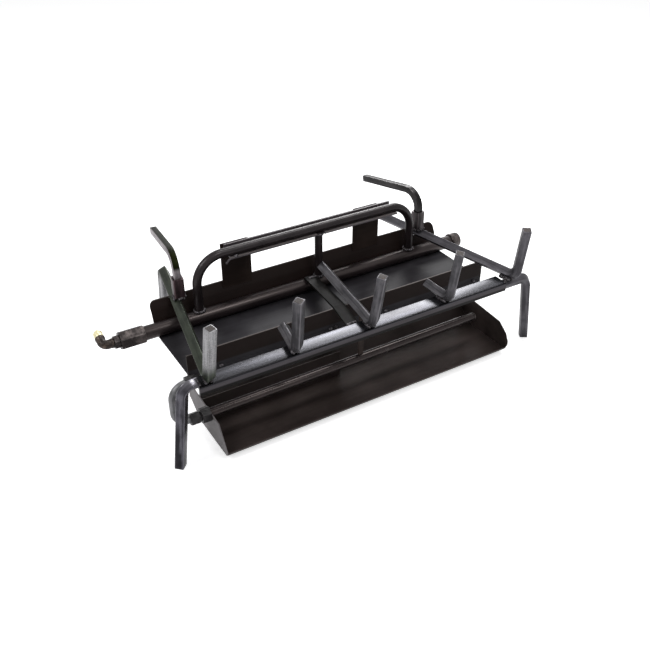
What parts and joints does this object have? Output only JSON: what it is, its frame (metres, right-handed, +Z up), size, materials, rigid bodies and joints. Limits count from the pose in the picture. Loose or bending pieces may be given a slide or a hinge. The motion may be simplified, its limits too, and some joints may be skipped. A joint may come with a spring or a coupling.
{
  "type": "gas log set",
  "caption": "Fireplace gas log set without its logs: a grate of square bar over a pan burner, with a raised loop burner behind and a front ember burner.",
  "frame": {"origin": "on the floor, under the middle of the whole set's bounding box", "axes": "+X along the front rail to the viewer's right, away from the gas inlet; +Y to the back of the fireplace; +Z up"},
  "size_m": [0.6584, 0.3554, 0.2191],
  "materials": {
    "bar": "bare hot-rolled square bar with dark mill scale",
    "post": "bare square bar and sleeve with dark mill scale",
    "rail": "bare rolled angle with a satin face",
    "sheet": "dark satin sheet steel",
    "pipe": "black pipe with a soft sheen",
    "casting": "dark malleable fitting",
    "tube": "bare light tube and nuts",
    "brass": "machined brass"
  },
  "bodies": {
    "grate_and_burners": {"front_rail": "rail", "left_front_leg": "bar", "left_side_bar": "bar", "right_front_leg": "bar", "right_side_bar": "bar", "second_finger": "bar", "middle_finger": "bar", "fourth_finger": "bar", "left_post_socket": "post", "right_post_socket": "post", "main_pan": "sheet", "main_burner_tube": "pipe", "end_cap": "casting", "inlet_coupling": "casting", "gas_orifice": "brass", "inlet_bushing": "casting", "loop_burner": "pipe", "centre_riser": "pipe", "loop_shelf": "sheet", "left_shelf_bracket": "sheet", "right_shelf_bracket": "sheet", "centre_strap": "bar", "left_ember_end": "sheet", "right_ember_end": "sheet", "ember_tray": "sheet", "ember_baffle": "sheet", "ember_burner_tube": "pipe", "ember_plug": "pipe", "ember_hanger": "sheet", "feed_tube": "tube", "feed_lower_nut": "tube", "feed_nipple": "casting", "feed_upper_nut": "tube", "feed_inlet": "casting", "ember_lock_nut": "casting"},
    "left_post": {"left_rear_post": "post"},
    "right_post": {"right_rear_post": "post"},
    "inlet": {"inlet_elbow": "casting", "flare_end": "brass"}
  },
  "joints": [
    {"name": "left_post_lift", "type": "slide", "parent": "grate_and_burners", "child": "left_post", "axis": [0, 0, 1], "range_m": [0, 0.04]},
    {"name": "right_post_lift", "type": "slide", "parent": "grate_and_burners", "child": "right_post", "axis": [0, 0, 1], "range_m": [0, 0.04]},
    {"name": "inlet_turn", "type": "hinge", "parent": "grate_and_burners", "child": "inlet", "pos_m": [-0.307, 0.03064, 0.10335], "axis": [1, 0, 0], "range_deg": [-180, 180]}
  ]
}
